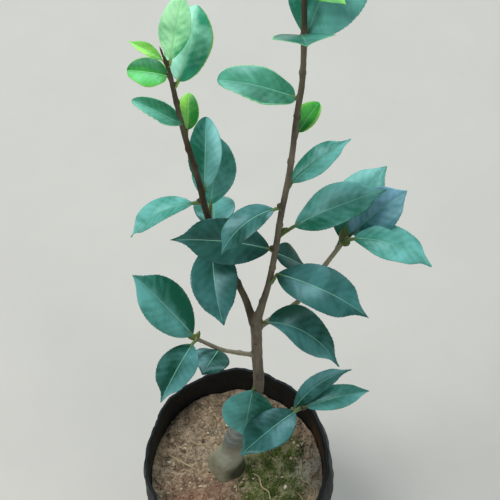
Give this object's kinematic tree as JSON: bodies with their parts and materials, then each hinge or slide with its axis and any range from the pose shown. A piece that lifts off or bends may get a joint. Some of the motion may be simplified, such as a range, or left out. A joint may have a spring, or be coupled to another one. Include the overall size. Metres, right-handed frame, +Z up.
{
  "type": "potted camellia",
  "caption": "Young grafted camellia shrub in a soft black nursery pot, two slender leaders with glossy oval leaves.",
  "frame": {"origin": "on the pot's flat underside, 2.5 mm right of its middle and 6 mm in front of it", "axes": "+Z up the plant, +X to the picture's right, +Y to the back"},
  "size_m": [0.2195, 0.1825, 0.7933],
  "materials": {
    "pot_film": "soft black film with a low sheen",
    "soil": "crumbly and dull",
    "trunk_bark": "grey-brown bark",
    "stem_bark": "brown young bark",
    "pale_bark": "pale tan young bark",
    "graft_tape": "grey stretched tape",
    "leaf": "glossy deep green",
    "young_leaf": "satin bright green"
  },
  "bodies": {
    "root": {"pot": "pot_film", "soil": "soil", "trunk": "trunk_bark", "graft_tape": "graft_tape", "right_leader": "stem_bark", "left_leader": "stem_bark", "right_side_shoot": "pale_bark", "low_left_shoot": "stem_bark", "low_right_shoot": "stem_bark", "right_tip_spray": "leaf", "left_tip_spray": "young_leaf", "side_tip_spray": "leaf", "low_left_spray": "leaf", "low_right_spray": "leaf", "right_leaf_base": "leaf", "right_leaf_under": "leaf", "right_leaf_long": "leaf", "right_leaf_branch": "leaf", "right_leaf_crook": "leaf", "right_leaf_mid": "leaf", "right_leaf_cup": "young_leaf", "right_leaf_wide": "leaf", "right_leaf_back": "leaf", "right_leaf_front": "leaf", "left_leaf_front": "leaf", "left_leaf_tall": "leaf", "left_leaf_out": "leaf", "left_leaf_hanging": "leaf", "left_leaf_folded": "leaf", "left_leaf_fresh": "young_leaf", "left_leaf_torn": "leaf", "fork_leaf": "leaf", "low_left_leaf": "leaf", "low_trunk_leaf": "leaf"}
  },
  "joints": []
}
